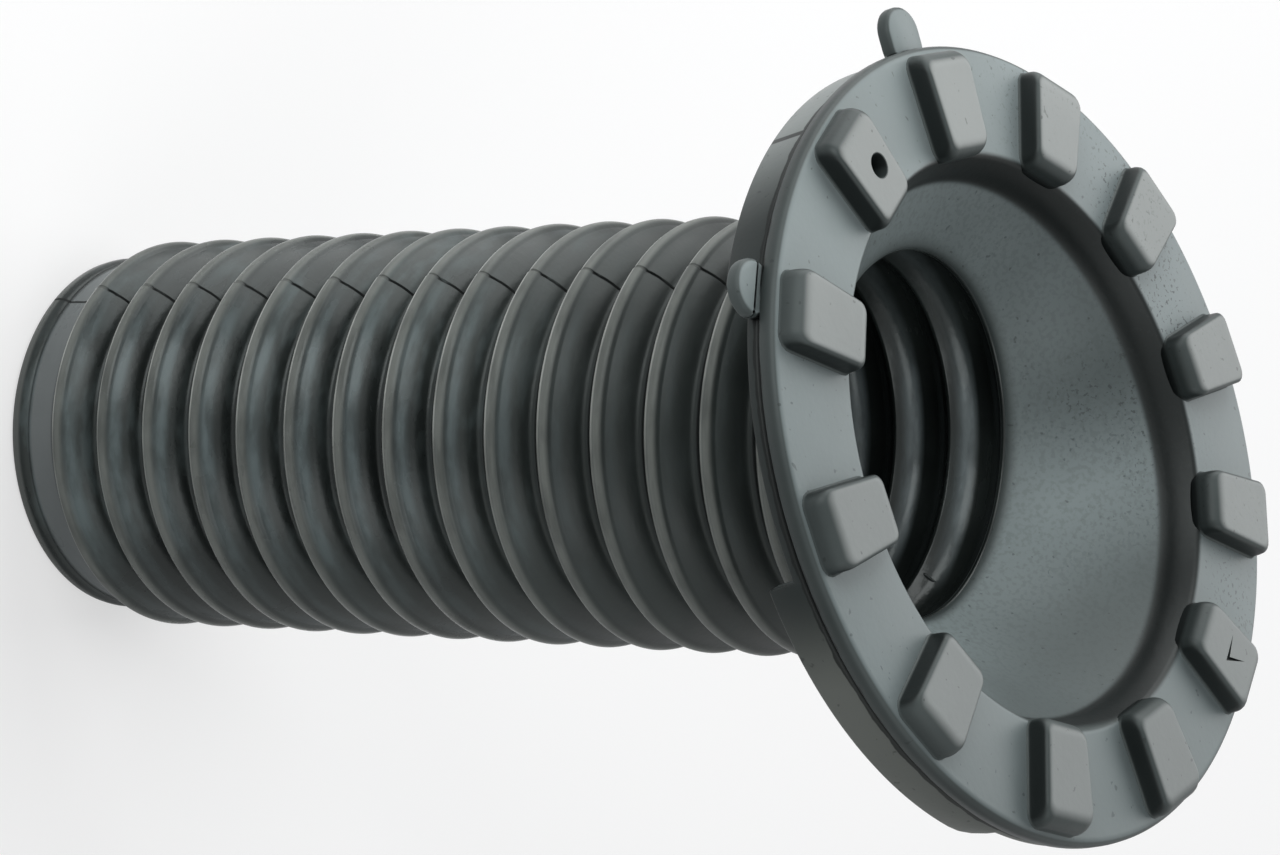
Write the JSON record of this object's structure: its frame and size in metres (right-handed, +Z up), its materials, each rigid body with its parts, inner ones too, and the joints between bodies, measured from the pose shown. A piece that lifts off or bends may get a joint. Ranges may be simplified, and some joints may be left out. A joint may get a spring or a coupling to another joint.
{
  "type": "rubber bellows boot",
  "caption": "Moulded rubber bellows dust boot with a plain lower collar, a skewed funnel neck and an inclined ring seat with raised pads, a skirt and two flat tabs.",
  "frame": {"origin": "centre of the small collar's end face, which the boot stands on", "axes": "+Z up along the axis of the bellows, from the collar to the seat; the seat's face leans towards +X"},
  "size_m": [0.1612, 0.1584, 0.2545],
  "materials": {
    "rubber": "satin"
  },
  "bodies": {
    "root": {"bellows_boot": "rubber"}
  },
  "joints": []
}
